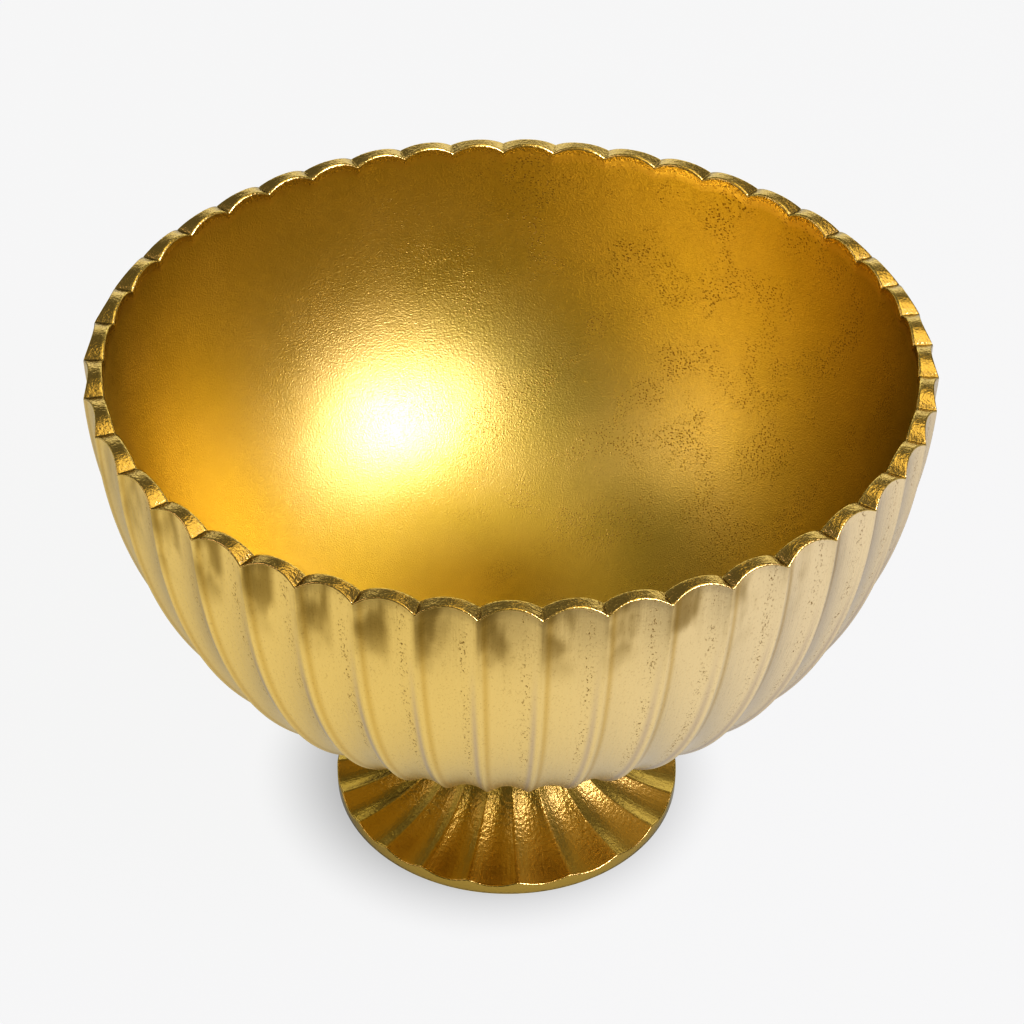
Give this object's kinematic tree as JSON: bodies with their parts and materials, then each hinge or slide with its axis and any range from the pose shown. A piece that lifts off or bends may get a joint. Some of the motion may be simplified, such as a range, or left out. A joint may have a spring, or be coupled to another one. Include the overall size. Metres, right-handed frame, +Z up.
{
  "type": "footed fluted bowl",
  "caption": "Deep round bowl on a flared foot, fluted outside and smooth inside, with an arched rim, cast in brass.",
  "frame": {"origin": "middle of the base, on the surface that the bowl stands on", "axes": "+Z up, along the bowl's axis; -Y is the side seen from the front"},
  "size_m": [0.2796, 0.2796, 0.1965],
  "materials": {
    "bowl_brass": "sand cast, satin brushed and lacquered to an antique gold",
    "foot_brass": "sand cast, satin brushed, a little darker in the flutes",
    "steel": "zinc plated",
    "felt": "pressed felt"
  },
  "bodies": {
    "root": {"bowl": "bowl_brass", "foot": "foot_brass", "assembly_bolt": "steel", "spring_washer": "steel", "flat_washer": "steel", "base_felt": "felt"}
  },
  "joints": []
}
